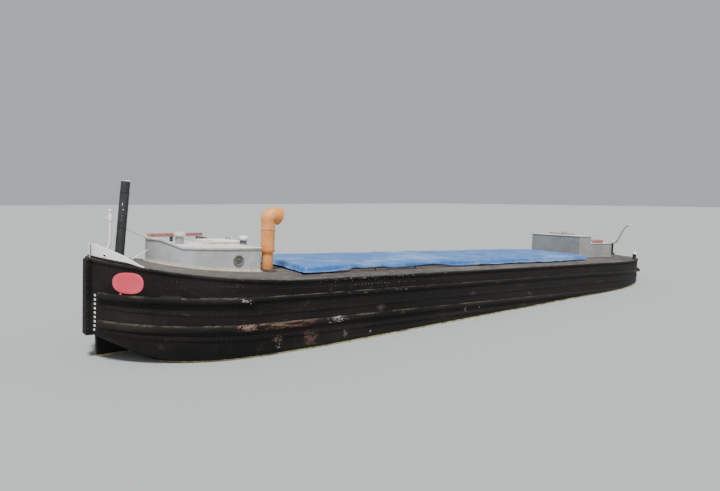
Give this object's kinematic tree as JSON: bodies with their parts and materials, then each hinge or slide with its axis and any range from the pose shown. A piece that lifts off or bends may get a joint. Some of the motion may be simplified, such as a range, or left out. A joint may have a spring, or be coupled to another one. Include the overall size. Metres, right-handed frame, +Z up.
{
  "type": "river barge",
  "caption": "Old riveted steel river barge with a bluff bow, low fore cabin, boarded hold under a blue tarpaulin, engine casing aft, rudder and tiller.",
  "frame": {"origin": "on the plane of the flat bottom, under the middle of the whole barge", "axes": "+X to the bow, +Y to port, +Z up; the hull stands level on its flat bottom"},
  "size_m": [18.8092, 4.09, 3.5],
  "materials": {
    "hull_black": "worn, streaked",
    "deck_grey": "worn, dusty",
    "white_paint": "chalked",
    "cabin_grey": "weathered",
    "sign_red": "faded",
    "terracotta_plastic": "sun-bleached",
    "tarp_blue": "creased woven sheet",
    "timber": "weathered",
    "hatch_red": "faded",
    "post_black": "scuffed",
    "bare_iron": "rusty",
    "engine_green": "oily",
    "porthole_glass": "dusty",
    "bronze": "dull"
  },
  "bodies": {
    "root": {"hull_bow": "hull_black", "hull_midship": "hull_black", "hull_stern": "hull_black", "fore_deck": "deck_grey", "side_deck_port": "deck_grey", "side_deck_starboard": "deck_grey", "after_deck": "deck_grey", "stem_post": "hull_black", "forefoot": "hull_black", "deadwood": "hull_black", "upper_strake_port": "hull_black", "upper_strake_starboard": "hull_black", "lower_strake_port": "hull_black", "lower_strake_starboard": "hull_black", "bow_bulwark_port": "white_paint", "bow_bulwark_starboard": "white_paint", "jackstaff": "white_paint", "deck_vent": "white_paint", "number_board_port": "sign_red", "number_board_starboard": "sign_red", "towing_post": "post_black", "stern_bollard_port": "post_black", "stern_bollard_starboard": "post_black", "cabin_coaming": "cabin_grey", "cabin_roof": "cabin_grey", "mushroom_vent_large": "cabin_grey", "engine_casing": "cabin_grey", "engine_roof": "cabin_grey", "companion": "cabin_grey", "companion_roof": "cabin_grey", "porthole_port": "porthole_glass", "porthole_starboard": "porthole_glass", "mushroom_vent_small": "bare_iron", "vent_collar": "bare_iron", "rudder_gland": "bare_iron", "vent_pipe": "terracotta_plastic", "vent_elbow": "terracotta_plastic", "hold_coaming": "deck_grey", "hatch_section_1": "timber", "hatch_section_2": "timber", "hatch_section_3": "timber", "hatch_section_4": "timber", "hatch_ledge_port": "timber", "hatch_ledge_starboard": "timber", "tarpaulin": "tarp_blue", "engine": "engine_green"},
    "propulsion": {"propeller_shaft": "bare_iron", "propeller": "bronze"},
    "steering": {"rudder": "bare_iron", "tiller": "white_paint"},
    "cabin_lid": {"cabin_hatch": "white_paint"},
    "engine_lid": {"engine_hatch": "hatch_red"},
    "companion_lid": {"companion_hatch": "cabin_grey"}
  },
  "joints": [
    {"name": "propeller_spin", "type": "hinge", "parent": "root", "child": "propulsion", "pos_m": [-8.5154, 0, 0.5], "axis": [1, 0, 0], "continuous": true},
    {"name": "rudder_turn", "type": "hinge", "parent": "root", "child": "steering", "pos_m": [-9.0354, 0, 1], "axis": [0, 0, 1], "range_deg": [-90, 0]},
    {"name": "cabin_hatch_open", "type": "hinge", "parent": "root", "child": "cabin_lid", "pos_m": [7.2346, 0, 2.3663], "axis": [0, 1, 0], "range_deg": [0, 100]},
    {"name": "engine_hatch_open", "type": "hinge", "parent": "root", "child": "engine_lid", "pos_m": [-5.9954, 0, 2.3606], "axis": [0, 1, 0], "range_deg": [0, 95]},
    {"name": "companion_hatch_open", "type": "hinge", "parent": "root", "child": "companion_lid", "pos_m": [-5.2954, 0, 2.5506], "axis": [0, 1, 0], "range_deg": [0, 100]}
  ]
}
